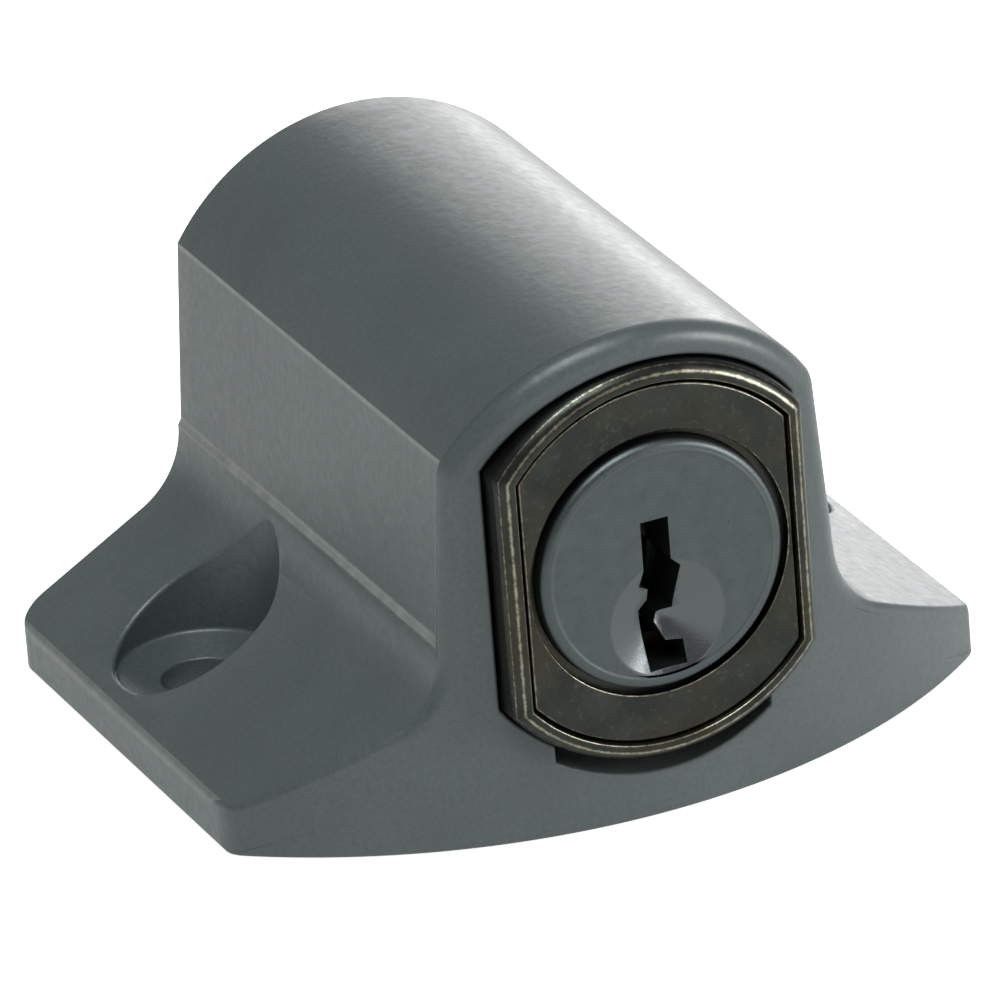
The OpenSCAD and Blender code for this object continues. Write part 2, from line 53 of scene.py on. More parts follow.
FLANK_X, LEAN = 10.2, math.tan(math.radians(4.2))
CREASE_Z = DOME_Z + math.sqrt(DOME_R**2 - FLANK_X**2)
TIP_Z, SLOPE = 2.6, math.tan(math.radians(28.8))
SLOPE_A = math.atan(SLOPE)
SWEEP_R, LEDGE_H, LEDGE_D = 4.8, 0.3, 0.22
BORE_R, BORE_X, BUSH_R = 10.9, 8.65, 5.07
RELIEF_R, RELIEF_X, RELIEF_Y = 11.7, 6.05, -19.5
EDGE_R, FLANGE_EDGE_R, REAR_EDGE_R, MOUTH_R = 1.0, 0.42, 0.2, 0.2
BASE_EDGE_R, TIP_EDGE_R, CREASE_EDGE_R, COLLAR_EDGE_R = 0.25, 0.5, 0.25, 2.0
COLLAR, COLLAR_X = 1.08, 10.42


def flank_x(z):
    """Half the width between the flanks at height z: the crease's, and wider below it by the lean."""
    return FLANK_X + LEAN * (CREASE_Z - z)


def flange_z(x):
    """Height of the flange's top at x: a straight slope that rises inward from the tip."""
    return TIP_Z + SLOPE * (HALF_W - x)


# the sweep is an arc that touches the flange's slope and ends upright under a narrow ledge
SWEEP_X = flank_x(AXIS_Z - SWEEP_R / 2) + LEDGE_D
SWEEP_CX = SWEEP_X + SWEEP_R
SWEEP_CZ = flange_z(SWEEP_CX) + SWEEP_R * math.sqrt(1 + SLOPE**2)
LEDGE_Z = SWEEP_CZ + LEDGE_H


def front_y(x):
    """The front face in plan: one wide arc that bulges forward, with a small circle at each corner."""
    x = np.minimum(np.abs(x), HALF_W)
    arc_y = FRONT_Y + FRONT_R
    corner_x = HALF_W - CORNER_R
    corner_y = arc_y - math.sqrt((FRONT_R - CORNER_R) ** 2 - corner_x**2)
    touch_x = corner_x * FRONT_R / (FRONT_R - CORNER_R)
    wide = arc_y - np.sqrt(FRONT_R**2 - x**2)
    corner = corner_y - np.sqrt(np.maximum(CORNER_R**2 - (x - corner_x) ** 2, 0))
    return np.where(x < touch_x, wide, corner)


def rear_y(x):
    """The rear face in plan: flat, with the same circle at each corner."""
    past = np.maximum(np.minimum(np.abs(x), HALF_W) - (HALF_W - CORNER_R), 0)
    return REAR_Y - CORNER_R + np.sqrt(np.maximum(CORNER_R**2 - past**2, 0))


def along(a, b, n, ease=0.0):
    """n points on the straight line from a to b, without b. ease above 0 crowds them at both ends."""
    t = np.arange(n) / n
    t = t * (1 - ease) + ease * (1 - np.cos(np.pi * t)) / 2
    return np.array(a) + t[:, None] * (np.array(b) - np.array(a))


def around(centre, r, a0, a1, n):
    """n points on the arc of radius r from angle a0 to a1, in degrees, without its last."""
    a = np.radians(a0 + (a1 - a0) * np.arange(n) / n)
    return np.stack([centre[0] + r * np.cos(a), centre[1] + r * np.sin(a)], axis=-1)


def fillet(corner, before, after, r, n):
    """The start and end of an arc of radius r that rounds a corner, and n points on it.

    The edges run in along before and out along after. The arc starts as far from the corner as r
    times the tangent of half the turn, and turns from one edge's direction to the other's.
    """
    before, after = np.array(before) / np.hypot(*before), np.array(after) / np.hypot(*after)
    turn = math.atan2(before[0] * after[1] - before[1] * after[0], before @ after)
    reach = r * math.tan(abs(turn) / 2)
    start = np.array(corner) - before * reach
    left = np.array([-before[1], before[0]]) * (1 if turn > 0 else -1)
    centre = start + left * r
    a0 = math.degrees(math.atan2(*(start - centre)[::-1]))
    return start, np.array(corner) + after * reach, around(centre, r, a0, a0 + math.degrees(turn), n)


# the section's outline runs in stretches from under the axis, round the flange's tip, to the crown,
# and these are the numbers of those that are named again
RELIEF, TIP_EDGE, LEDGE, FLANK, CREASE = 0, 4, 7, 8, 9


def half_outline(cut):
    """The points of the section's right half, stretch by stretch: straight lines, and arcs that touch them.

    Where cut, the flank is the flat one that leans in to the crease. Otherwise it is the fuller
    collar's in front, which runs from the sweep up into the dome over a wide fillet.
    """
    down_slope = (-math.cos(SLOPE_A), math.sin(SLOPE_A))
    base_in, base_out, base_arc = fillet((HALF_W, 0), (1, 0), (0, 1), BASE_EDGE_R, 6)
    tip_in, tip_out, tip_arc = fillet((HALF_W, TIP_Z), (0, 1), down_slope, TIP_EDGE_R, 10)
    sweep_arc = around((SWEEP_CX, SWEEP_CZ), SWEEP_R, 270 - math.degrees(SLOPE_A), 180, 30)
    if cut:
        foot, crease, soft = (flank_x(LEDGE_Z), LEDGE_Z), (FLANK_X, CREASE_Z), CREASE_EDGE_R
    else:
        collar_z = DOME_Z + math.sqrt(DOME_R**2 - COLLAR_X**2)
        foot, crease, soft = (SWEEP_X - 0.02, LEDGE_Z), (COLLAR_X, collar_z), COLLAR_EDGE_R
    dome_a = math.degrees(math.atan2(crease[1] - DOME_Z, crease[0]))
    up_dome = (-math.sin(math.radians(dome_a)), math.cos(math.radians(dome_a)))
    up_flank = (crease[0] - foot[0], crease[1] - foot[1])
    crease_in, crease_out, crease_arc = fillet(crease, up_flank, up_dome, soft, 10)
    dome_start = math.degrees(math.atan2(crease_out[1] - DOME_Z, crease_out[0]))
    return [
        along((0, 0), (12, 0), 24),
        along((12, 0), base_in, 16, 0.7),
        base_arc,
        along(base_out, tip_in, 6),
        tip_arc,
        along(tip_out, sweep_arc[0], 40, 0.7),
        sweep_arc,
        along((SWEEP_X, SWEEP_CZ), foot, 5),
        along(foot, crease_in, 30, 0.3),
        crease_arc,
        around((0, DOME_Z), DOME_R, dome_start, 90, 60),
        np.array([[0, DOME_Z + DOME_R]]),
    ]


# the angle round the bore that each stretch starts at on the end faces, whose rows run from the
# outline in to the bore
bore_corner = math.degrees(math.acos(BORE_X / BORE_R))
relief_corner = -math.degrees(math.acos(RELIEF_X / BORE_R))
joins = [-90, relief_corner, -50, -49, -47.5, -46, -28, -15, -14, bore_corner - 1, bore_corner, 90]
parts_cut, parts_full = half_outline(True), half_outline(False)
join_angle = np.concatenate(
    [a + (b - a) * np.arange(len(p)) / len(p) for a, b, p in zip(joins, joins[1:], parts_cut)] + [[90.0]]
)
stretch = np.repeat(np.arange(len(parts_cut)), [len(p) for p in parts_cut])
cut_line, full_line = np.concatenate(parts_cut), np.concatenate(parts_full)
# the relief's side wall stands on a doubled place, where the relief's stretch ends
relief_end = len(parts_cut[RELIEF])
in_relief = np.arange(len(cut_line)) < relief_end
cut_line = np.insert(cut_line, relief_end, cut_line[relief_end] - [0.01, 0], axis=0)
full_line = np.insert(full_line, relief_end, full_line[relief_end] - [0.01, 0], axis=0)
join_angle = np.insert(join_angle, relief_end, join_angle[relief_end])
stretch = np.insert(stretch, relief_end, stretch[relief_end])
in_relief = np.insert(in_relief, relief_end, True)


def both_halves(values, flip):
    """The right half's values from foot to crown, then the left half's back to the foot, times flip."""
    left = np.array(values[-2:0:-1], dtype=float)
    return np.concatenate([values, left * flip])


cut_line = both_halves(cut_line, [-1, 1])
full_line = both_halves(full_line, [-1, 1])
stretch = both_halves(stretch, 1)
in_relief = both_halves(in_relief.astype(float), 1) > 0.5
join_angle = np.radians(both_halves(join_angle, 1))
join_cos = np.cos(join_angle) * np.where(cut_line[:, 0] < 0, -1, 1)
join_sin = np.sin(join_angle)


def outward(line):
    """The unit normal at each point of a closed (x, z) line: across the step between its neighbours."""
    step = np.roll(line, -1, axis=0) - np.roll(line, 1, axis=0)
    normal = np.stack([step[:, 1], -step[:, 0]], axis=-1)
    return normal / np.maximum(np.linalg.norm(normal, axis=1, keepdims=True), 1e-9)


def bore_line(grow):
    """The bore's outline: a circle cut off by a flat on each side, both further out by grow."""
    r = np.minimum(BORE_R + grow, (BORE_X + grow) / np.maximum(np.abs(join_cos), 1e-6))
    return np.stack([r * join_cos, AXIS_Z + r * join_sin], axis=-1)


def mouth_line(grow):
    """The bore's outline at its mouth, where its lowest stretch falls to the relief's wider circle."""
    line = bore_line(grow)
    low = AXIS_Z - np.sqrt((RELIEF_R + grow) ** 2 - line[:, 0] ** 2)
    return np.stack([line[:, 0], np.where(in_relief, low, line[:, 1])], axis=-1)


def row(line, y):
    """A row of points from an (x, z) line and its y, which is one value or one for each point."""
    return np.stack([line[:, 0], np.broadcast_to(y, len(line)), line[:, 1]], axis=-1)


def quarter(n):
    """n + 1 angles over a quarter turn, in radians."""
    return np.radians(np.linspace(0, 90, n + 1))


full_out, cut_out_line = outward(full_line), outward(cut_line)
# the front edge's rounding: small along the base and the flange, growing up the sweep to the arch's
climb = np.clip((full_line[:, 1] - 5.5) / 6.0, 0, 1)
edge_r = FLANGE_EDGE_R + (EDGE_R - FLANGE_EDGE_R) * climb * climb * (3 - 2 * climb)
edge_r = np.where(full_line[:, 1] < 0.15, BASE_EDGE_R, edge_r)[:, None]
rear_r = np.minimum(edge_r, REAR_EDGE_R)
face_line = full_line - full_out * edge_r
# how much painted highlight each point round the section gets: full on the ledge, the crease and the flank's
# foot, less on the flange's tip
edge_thin = np.select([np.isin(stretch, (LEDGE, CREASE)), stretch == TIP_EDGE], [1.0, 0.6], 0.0)
edge_thin = np.where((stretch == FLANK) & (cut_line[:, 1] < LEDGE_Z + 0.12), 1.0, edge_thin)
on_flank = np.isin(stretch, (FLANK, CREASE)).astype(float)
rows, thin = [], []
# the bore from its back to its mouth, with the relief in front of RELIEF_Y
for y in (WALL_Y, 2.0, -8.0, RELIEF_Y):
    rows.append(row(bore_line(0), y))
for y in (RELIEF_Y - 0.02, -21.0):
    rows.append(row(mouth_line(0), y))
for a in quarter(6):
    line = mouth_line(MOUTH_R * (1 - math.cos(a)))
    rows.append(row(line, front_y(line[:, 0]) + MOUTH_R * (1 - math.sin(a))))
# the front face, its rows crowded towards the outline so that the flange's corners come out round
for t in np.linspace(0, 1, 40)[1:-1]:
    s = 1 - (1 - t) ** 2
    line = mouth_line(MOUTH_R) * (1 - s) + face_line * s
    rows.append(row(line, front_y(line[:, 0])))
for a in quarter(12):
    line = full_line - full_out * edge_r * (1 - math.sin(a))
    rows.append(row(line, front_y(line[:, 0]) + edge_r[:, 0] * (1 - math.cos(a))))
thin += [0.0] * (len(rows) - len(thin))
# the collar, and the flank that is cut flat behind it
start = front_y(full_line[:, 0]) + COLLAR
rows += [row(full_line, start - 0.12), row(full_line, start), row(cut_line, start + 0.05)]
# the collar's step onto the flat flank gets a painted highlight line, as do the flank's edges behind it
thin += [0.0, on_flank, np.maximum(on_flank, edge_thin)]
finish = rear_y(cut_line[:, 0]) - rear_r[:, 0]
for t in (0.006, 0.03, 0.15, 0.35, 0.55, 0.75, 0.95, 1.0):
    rows.append(row(cut_line, start + 0.05 + (finish - start - 0.05) * t))
    thin.append(edge_thin)
for a in quarter(6)[1:]:
    line = cut_line - cut_out_line * rear_r * (1 - math.cos(a))
    rows.append(row(line, rear_y(line[:, 0]) - rear_r[:, 0] * (1 - math.sin(a))))
# the rear face in to the bush's hole, and the wall behind the bore
rear_line = rows[-1][:, ::2]
hole_line = np.stack([join_cos, join_sin], axis=-1) * BUSH_R + [0, AXIS_Z]
for t in np.linspace(0, 1, 16)[1:]:
    line = rear_line * (1 - t**2) + hole_line * t**2
    rows.append(row(line, rear_y(line[:, 0])))
rows += [row(hole_line, WALL_Y), row(hole_line * 0.5 + bore_line(0) * 0.5, WALL_Y)]
thin += [0.0] * (len(rows) - len(thin))


def outward_faces(piece, sharp):
    """Turns a closed mesh outward if its volume, the sum of its triangles' with the origin, is negative.

    Then it shades the mesh smooth, but for the edges that are steeper than sharp degrees.
    """
    mesh = piece.data
    mesh.calc_loop_triangles()
    corners = np.empty(len(mesh.loop_triangles) * 3, dtype=np.int64)
    mesh.loop_triangles.foreach_get("vertices", corners)
    place = np.empty(len(mesh.vertices) * 3)
    mesh.vertices.foreach_get("co", place)
    a, b, c = place.reshape(-1, 3)[corners.reshape(-1, 3)].transpose(1, 0, 2)
    if np.einsum("ij,ij->i", a, np.cross(b, c)).sum() < 0:
        mesh.flip_normals()
    mesh.shade_smooth()
    mesh.set_sharp_from_angle(angle=math.radians(sharp))
    mesh.update()


def rows_piece(name, rows, ends="caps", sharp=35, **attributes):
    """A closed skin of four-sided faces between each row of points and the next.

    rows holds a row number, a place round the row and x, y, z. The ends are flat caps, or with
    "ring" the last row joins the first. An attribute gives a value for each row, or each point.
    """
    rows = np.asarray(rows, dtype=float)
    n, m = rows.shape[:2]
    i = np.arange(n if ends == "ring" else n - 1)[:, None]
    k = np.arange(m)[None, :]
    here, there = i * m, (i + 1) % n * m
    faces = np.stack([here + k, here + (k + 1) % m, there + (k + 1) % m, there + k], axis=-1)
    faces = faces.reshape(-1, 4).tolist()
    if ends == "caps":
        faces += [list(range(m))[::-1], list(range((n - 1) * m, n * m))]
    mesh = bpy.data.meshes.new(name)
    mesh.from_pydata((rows.reshape(-1, 3) * MM).tolist(), [], faces)
    for key, values in attributes.items():
        values = np.stack([np.broadcast_to(value, m) for value in values]).astype(np.float32)
        mesh.attributes.new(key, "FLOAT", "POINT").data.foreach_set("value", values.ravel())
    piece = bpy.data.objects.new(name, mesh)
    bpy.context.scene.collection.objects.link(piece)
    outward_faces(piece, sharp)
    return piece


def block(x, y, z):
    """A plain box between each pair of limits, to cut with."""
    face = [(x[0], z[0]), (x[1], z[0]), (x[1], z[1]), (x[0], z[1])]
    return rows_piece("cutter", [[(a, depth, b) for a, b in face] for depth in y])


def drill(axis, centre, r, span, steps=48):
    """A round bar to cut with, along axis "x" or "z", through centre's other two places, over span."""
    a = np.linspace(0, 2 * np.pi, steps, endpoint=False)
    first, second = centre[0] + r * np.cos(a), centre[1] + r * np.sin(a)
    ends = [np.full(steps, s) for s in span]
    rows = [[end, first, second] if axis == "x" else [first, second, end] for end in ends]
    return rows_piece("cutter", np.array(rows).transpose(0, 2, 1))


def cut_out(piece, *cutters, sharp=35):
    """Takes the cutters out of the piece for good and removes them."""
    for cutter in cutters:
        step = piece.modifiers.new("cut", "BOOLEAN")
        step.operation = "DIFFERENCE"
        step.solver = "EXACT"
        step.object = cutter
    graph = bpy.context.evaluated_depsgraph_get()
    mesh = bpy.data.meshes.new_from_object(piece.evaluated_get(graph))
    piece.modifiers.clear()
    piece.data = mesh
    for cutter in cutters:
        bpy.data.objects.remove(cutter)
    outward_faces(piece, sharp)


SCREW_X, SCREW_R, RECESS_R, SEAT_Z, SEAT_FALL = 15.7, 2.2, 4.5, 2.9, 0.5
HOLE_EDGE_R, SEAT_EDGE_W, SEAT_EDGE_H, SEAT_RISE = 0.15, 0.3, 0.24, 0.06
FLARE_R, FLARE_OUT = 0.28, 1.5


def top_z(x):
    """Height of the flange's top at x: the sweep's arc as far as it touches the slope, then the slope."""
    x = np.abs(x)
    sweep = SWEEP_CZ - np.sqrt(np.maximum(SWEEP_R**2 - (SWEEP_CX - x) ** 2, 0))
    touch = SWEEP_CX - SWEEP_R * math.sin(SLOPE_A)
    return np.where(x < touch, sweep, flange_z(x))


def recess_cutter(sign):
    """The room for one screw: its hole, the cone its head sits on and the round recess above.

    Each row gives a distance from the screw's axis and a height for every turn round it. At the top
    the wall flares out along an arc that touches both the wall and the flange's top, whose height and
    lean differ round the recess. The arc is smaller where the top is steep or the wall is low.
    """
    turn = np.linspace(0, 2 * np.pi, 144, endpoint=False)
    x, step = SCREW_X + RECESS_R * np.cos(turn), 0.02 * np.cos(turn)
    top = top_z(x)
    lean = np.clip((top_z(x + step) - top_z(x - step)) / 0.04, -3, 3)
    r = np.minimum(FLARE_R, 0.6 * (top - SEAT_Z)) / (1 + (lean / 1.5) ** 2)
    end = np.arctan2(1, -lean) + math.radians(16)
    low = top + lean * r - r * np.sqrt(1 + lean**2)
    hole_z, seat_z = SEAT_Z - SEAT_FALL, SEAT_Z - SEAT_RISE
    profile = [(SCREW_R, -2.0), (SCREW_R, hole_z - HOLE_EDGE_R)]
    for a in quarter(5):
        profile.append((SCREW_R + HOLE_EDGE_R * (1 - math.cos(a)), hole_z - HOLE_EDGE_R * (1 - math.sin(a))))
    profile.append((RECESS_R - SEAT_EDGE_W, seat_z))
    for a in quarter(4)[1:]:
        profile.append((RECESS_R - SEAT_EDGE_W * (1 - math.sin(a)), seat_z + SEAT_EDGE_H * (1 - math.cos(a))))
    rows = [np.broadcast_to(point, (len(turn), 2)) for point in profile]
    for s in np.linspace(0, 1, 9):
        a = np.pi + (end - np.pi) * s
        height = np.maximum(low + r * np.sin(a), SEAT_Z + 0.19)
        rows.append(np.stack([RECESS_R + r + r * np.cos(a), height], axis=-1))
    reach = rows[-1] + FLARE_OUT * np.stack([np.sin(end), -np.cos(end)], axis=-1)
    rows += [reach, np.stack([reach[:, 0], np.full(len(turn), 30.0)], axis=-1)]
    skin = [[sign * (SCREW_X + p[:, 0] * np.cos(turn)), p[:, 0] * np.sin(turn), p[:, 1]] for p in rows]
    return rows_piece("cutter", np.array(skin).transpose(0, 2, 1))


# the notch that the catch drops into, and the hole of the stop pin that keeps the button in
STOP_X, STOP_Y, PIN_R = 5.0, -14.02, 1.02
CATCH_Y, CATCH_T, NOSE_X, NOTCH_GAP, NOTCH_Z = -9.4, 2.8, 3.0, 0.3, 1.95
notch = block(
    (-NOSE_X - NOTCH_GAP, NOSE_X + NOTCH_GAP),
    (CATCH_Y - NOTCH_GAP, CATCH_Y + CATCH_T + NOTCH_GAP),
    (NOTCH_Z, 2 * NOTCH_Z + 2),
)
pin_hole = drill("z", (STOP_X, STOP_Y), PIN_R, (-2.0, 6.0))
housing = rows_piece("housing_casting", rows, ends="ring", sharp=28, thin=thin)
cut_out(housing, recess_cutter(1), recess_cutter(-1), notch, pin_hole, sharp=28)


def colour(hex_code):
    """The linear colour of an sRGB hex code: each part over 12.92, or its 2.4th power above the toe."""
    parts = [int(hex_code[i : i + 2], 16) / 255 for i in (0, 2, 4)]
    return [p / 12.92 if p <= 0.04045 else ((p + 0.055) / 1.055) ** 2.4 for p in parts] + [1.0]


def new_material(name):
    """An empty material, with its node tree and its Object coordinates in metres."""
    material = bpy.data.materials.new(name)
    material.use_nodes = True
    tree = material.node_tree
    tree.nodes.clear()
    return material, tree, node(tree, "TexCoord", out="Object")


def node(tree, kind, inputs=None, out=0, **settings):
    """Adds a shader node and gives back one of its outputs. An input takes a value or another's output."""
    made = tree.nodes.new("ShaderNode" + kind)
    for key, value in settings.items():
        setattr(made, key, value)
    for key, value in (inputs or {}).items():
        if isinstance(value, bpy.types.NodeSocket):
            tree.links.new(value, made.inputs[key])
        else:
            made.inputs[key].default_value = value
    return made.outputs[out] if made.outputs else None


def dress(piece, material, body, slot_name, *nodes):
    """Gives the piece its material, its moving body and the CAD nodes it stands for; slot_name is not used."""
    piece.data.materials.clear()
    piece.data.materials.append(material)
    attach(piece, body)
    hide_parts(*nodes)


# the sockets of a Mix node that mixes colours, whose names it shares with its other kinds
SHARE, UNDER, OVER, MIXED = 0, 6, 7, 2

# Powder coat, sprayed and baked on: an orange peel about half a millimetre across over a slower
# unevenness breaks the highlights up softly, and pale highlight lines are painted along the edges.
powder, tree, place = new_material("satin powder coat")
peel = node(tree, "TexNoise", {"Vector": place, "Scale": 1 / (0.55 * MM), "Detail": 2, "Roughness": 0.5})
slow = node(tree, "TexNoise", {"Vector": place, "Scale": 1 / (6 * MM), "Detail": 2, "Roughness": 0.55})
grain = node(tree, "TexNoise", {"Vector": place, "Scale": 1 / (0.22 * MM), "Detail": 2, "Roughness": 0.55})
rough = node(
    tree, "MapRange", {"Value": peel, "From Min": 0.3, "From Max": 0.7, "To Min": 0.33, "To Max": 0.41}
)
share = node(tree, "MapRange", {"Value": slow, "From Min": 0.3, "From Max": 0.7})
tone = node(
    tree, "Mix", {SHARE: share, UNDER: colour("414948"), OVER: colour("474f4e")}, MIXED, data_type="RGBA"
)
share = node(tree, "MapRange", {"Value": grain, "From Min": 0.35, "From Max": 0.7, "To Max": 0.5})
tone = node(tree, "Mix", {SHARE: share, UNDER: tone, OVER: colour("353b3b")}, MIXED, data_type="RGBA")
uneven = node(tree, "TexNoise", {"Vector": place, "Scale": 1 / (1.4 * MM), "Detail": 4, "Roughness": 0.55})
uneven = node(
    tree, "MapRange", {"Value": uneven, "From Min": 0.3, "From Max": 0.7, "To Min": 0.45, "To Max": 0.9}
)
# pale highlight lines painted along the ledge, the crease, the flank's edges and the flange's tip, broken up
# by noise
run_thin = node(tree, "Attribute", out="Fac", attribute_name="thin")
share = node(tree, "Math", {0: run_thin, 1: uneven}, operation="MULTIPLY")
tone = node(tree, "Mix", {SHARE: share, UNDER: tone, OVER: colour("7b7e79")}, MIXED, data_type="RGBA")
normal = node(tree, "Bump", {"Height": peel, "Distance": 0.018 * MM})
shader = node(tree, "BsdfPrincipled", {"Base Color": tone, "Roughness": rough, "Normal": normal})
node(tree, "OutputMaterial", {"Surface": shader})
dress(housing, powder, "housing", "housing", "housing")

# ---------------------------------------------------------------------------------------------
# Button sleeve: the flat-sided sleeve that the thumb pushes in. A zinc casting, turned, then plated
# in dark nickel, which has worn through to pale metal in two lines round the rim.
SLEEVE_R, SLEEVE_X = 10.8, 8.55
RIM_Y, SLEEVE_END = -24.15, -1.5
RIM_W, RIM_ROUND, GROOVE, INNER_EDGE = 1.1, 0.8, 0.16, 0.1
SEAT_Y, POCKET_END = -21.8, -9.5
POCKET_GROW, POCKET_SIDE = -2.15, -1.6
BOLT_R, CROSS_Y = 4.0, -3.6
# each worn line's place on the rim's rounding and its half width, in degrees, and its strength
WORN_LINES = [(68, 16, 1.0), (34, 12, 0.8)]


def double_d(grow, side_grow=None, n_flat=24, n_arc=60):
    """An outline of two flats and two arcs round the axis, further out by grow, the flats by side_grow.

    The points are at even angles on the flats and on the arcs, and the corners are where they meet.
    """
    r, half_w = SLEEVE_R + grow, SLEEVE_X + (grow if side_grow is None else side_grow)
    corner = math.acos(half_w / r)
    flat = np.linspace(-corner, corner, n_flat, endpoint=False)
    arc = np.linspace(corner, np.pi - corner, n_arc, endpoint=False)
    right = np.stack([np.full(n_flat, half_w), half_w * np.tan(flat)], axis=-1)
    top = np.stack([r * np.cos(arc), r * np.sin(arc)], axis=-1)
    line = np.concatenate([right, top])
    return np.concatenate([line, -line]) + [0, AXIS_Z]


def ring_line(r, like):
    """A circle round the axis with its points at the same polar angles as those of another line."""
    a = np.arctan2(like[:, 1] - AXIS_Z, like[:, 0])
    return np.stack([r * np.cos(a), AXIS_Z + r * np.sin(a)], axis=-1)


profile = [(-0.3, SLEEVE_END, 0.0), (0.0, SLEEVE_END - 0.3, 0.0), (0.0, -12.0, 0.0), (0.0, -23.0, 0.0)]
for a in quarter(24):
    wear_and_sheen = sum(much * max(0.0, 1 - abs(math.degrees(a) - at) / half) for at, half, much in WORN_LINES)
    profile.append((-RIM_ROUND * (1 - math.cos(a)), RIM_Y + RIM_ROUND * (1 - math.sin(a)), wear_and_sheen))
# the rim's inner edge at the groove gets a pale line painted as its highlight
for a in quarter(4):
    inner = -RIM_W + GROOVE + INNER_EDGE * (1 - math.sin(a))
    profile.append((inner, RIM_Y + INNER_EDGE * (1 - math.cos(a)), math.sin(2 * a)))
profile += [(-RIM_W, RIM_Y + 0.35, 0.0), (-RIM_W, SEAT_Y, 0.0)]
rows = [row(double_d(grow), y) for grow, y, wear_and_sheen in profile]
wear = [wear_and_sheen for grow, y, wear_and_sheen in profile] + [0.0] * 4
pocket = double_d(POCKET_GROW, POCKET_SIDE)
bolt_hole = ring_line(BOLT_R + 0.02, pocket)
rows += [row(pocket, SEAT_Y), row(pocket, POCKET_END), row(bolt_hole, POCKET_END), row(bolt_hole, SLEEVE_END)]
sleeve = rows_piece("button_sleeve_shell", rows, ends="ring", sharp=40, wear=wear)
# the room for the catch and its spring, the stop pin's slot and the cross pin's hole
CATCH_ROOM = (POCKET_END - 1, CATCH_Y + CATCH_T + 0.1)
cut_out(
    sleeve,
    block((-5.1, 5.1), CATCH_ROOM, (AXIS_Z - 7.5, AXIS_Z + 3.1)),
    block((-3.1, 3.1), CATCH_ROOM, (0.0, AXIS_Z - 7.0)),
    drill("z", (0.0, CATCH_Y + CATCH_T / 2), 1.3, (AXIS_Z + 2.5, AXIS_Z + 7.6)),
    block((STOP_X - 1.12, STOP_X + 1.12), (STOP_Y - 1.12, STOP_Y + 11.12), (0.0, 5.5)),
    drill("x", (CROSS_Y, AXIS_Z), PIN_R, (-12.0, 12.0)),
    sharp=40,
)

# Dark nickel, electroplated over a turned casting: clouded over a few millimetres and browned here
# and there, with a fine grain, a few pale flecks and bright worn lines round the rim, and with pale
# highlights painted along the inner edges.
nickel, tree, place = new_material("worn dark nickel plate")
cloud = node(tree, "TexNoise", {"Vector": place, "Scale": 1 / (2.2 * MM), "Detail": 4, "Roughness": 0.55})
fine = node(tree, "TexNoise", {"Vector": place, "Scale": 1 / (0.18 * MM), "Detail": 3, "Roughness": 0.55})
patch = node(tree, "TexNoise", {"Vector": place, "Scale": 1 / (0.34 * MM), "Detail": 6, "Roughness": 0.7})
brown = node(tree, "TexNoise", {"Vector": place, "Scale": 1 / (5 * MM), "Detail": 3, "Roughness": 0.55})
fleck = node(tree, "TexNoise", {"Vector": place, "Scale": 1 / (0.35 * MM), "Detail": 3, "Roughness": 0.6})
rough = node(
    tree, "MapRange", {"Value": cloud, "From Min": 0.3, "From Max": 0.7, "To Min": 0.26, "To Max": 0.4}
)
share = node(tree, "MapRange", {"Value": cloud, "From Min": 0.3, "From Max": 0.7})
tone = node(
    tree, "Mix", {SHARE: share, UNDER: colour("2b2e2b"), OVER: colour("393c38")}, MIXED, data_type="RGBA"
)
share = node(tree, "MapRange", {"Value": brown, "From Min": 0.48, "From Max": 0.7, "To Max": 0.6})
tone = node(tree, "Mix", {SHARE: share, UNDER: tone, OVER: colour("3d372b")}, MIXED, data_type="RGBA")
# the rim's worn lines, and the pale highlights painted along the inner edges
on_edge = node(tree, "Attribute", out="Fac", attribute_name="wear")
wear_and_sheen = node(tree, "Math", {0: patch, 1: 1.3, 2: on_edge}, operation="MULTIPLY_ADD")
wear_and_sheen = node(tree, "MapRange", {"Value": wear_and_sheen, "From Min": 1.2, "From Max": 1.8, "To Max": 0.9})
fleck = node(tree, "MapRange", {"Value": fleck, "From Min": 0.58, "From Max": 0.72, "To Max": 0.06})
share = node(tree, "Math", {0: wear_and_sheen, 1: fleck}, operation="MAXIMUM")
tone = node(tree, "Mix", {SHARE: share, UNDER: tone, OVER: colour("a39c86")}, MIXED, data_type="RGBA")
normal = node(tree, "Bump", {"Height": fine, "Distance": 0.004 * MM})
shader = node(
    tree, "BsdfPrincipled", {"Base Color": tone, "Metallic": 1.0, "Roughness": rough, "Normal": normal}
)
node(tree, "OutputMaterial", {"Surface": shader})
dress(sleeve, nickel, "button", "button", "button_sleeve")

# ---------------------------------------------------------------------------------------------
# Cylinder body: the zinc body that fills the sleeve and holds the plug. Its face plate shows inside
# the rim, behind a fine groove, and is plated with the sleeve. A pin through the sleeve fixes it.
PLATE_Y, BODY_END = -24.0, -12.0
HOLE_R, BARREL_R, BARREL_Y = 7.17, 6.05, -22.25
STEP_R, STEP_D, HOLE_EDGE, FIT = 6.8, 0.6, 0.12, 0.02

plate_line = double_d(-RIM_W - FIT)
neck_line = double_d(POCKET_GROW - FIT, POCKET_SIDE - FIT)
rows = [
    row(ring_line(BARREL_R, plate_line), BODY_END),
    row(neck_line, BODY_END),
    row(neck_line, SEAT_Y - 0.01),
    row(plate_line, SEAT_Y - 0.01),
    row(plate_line, PLATE_Y + GROOVE + 0.1),
]
wear = [0.0] * len(rows)
# the plate's edge at the groove gets a pale line painted as its highlight
for a in quarter(4):
    rows.append(row(double_d(-RIM_W - FIT - GROOVE * (1 - math.cos(a))), PLATE_Y + GROOVE * (1 - math.sin(a))))
    wear.append(math.sin(2 * a))
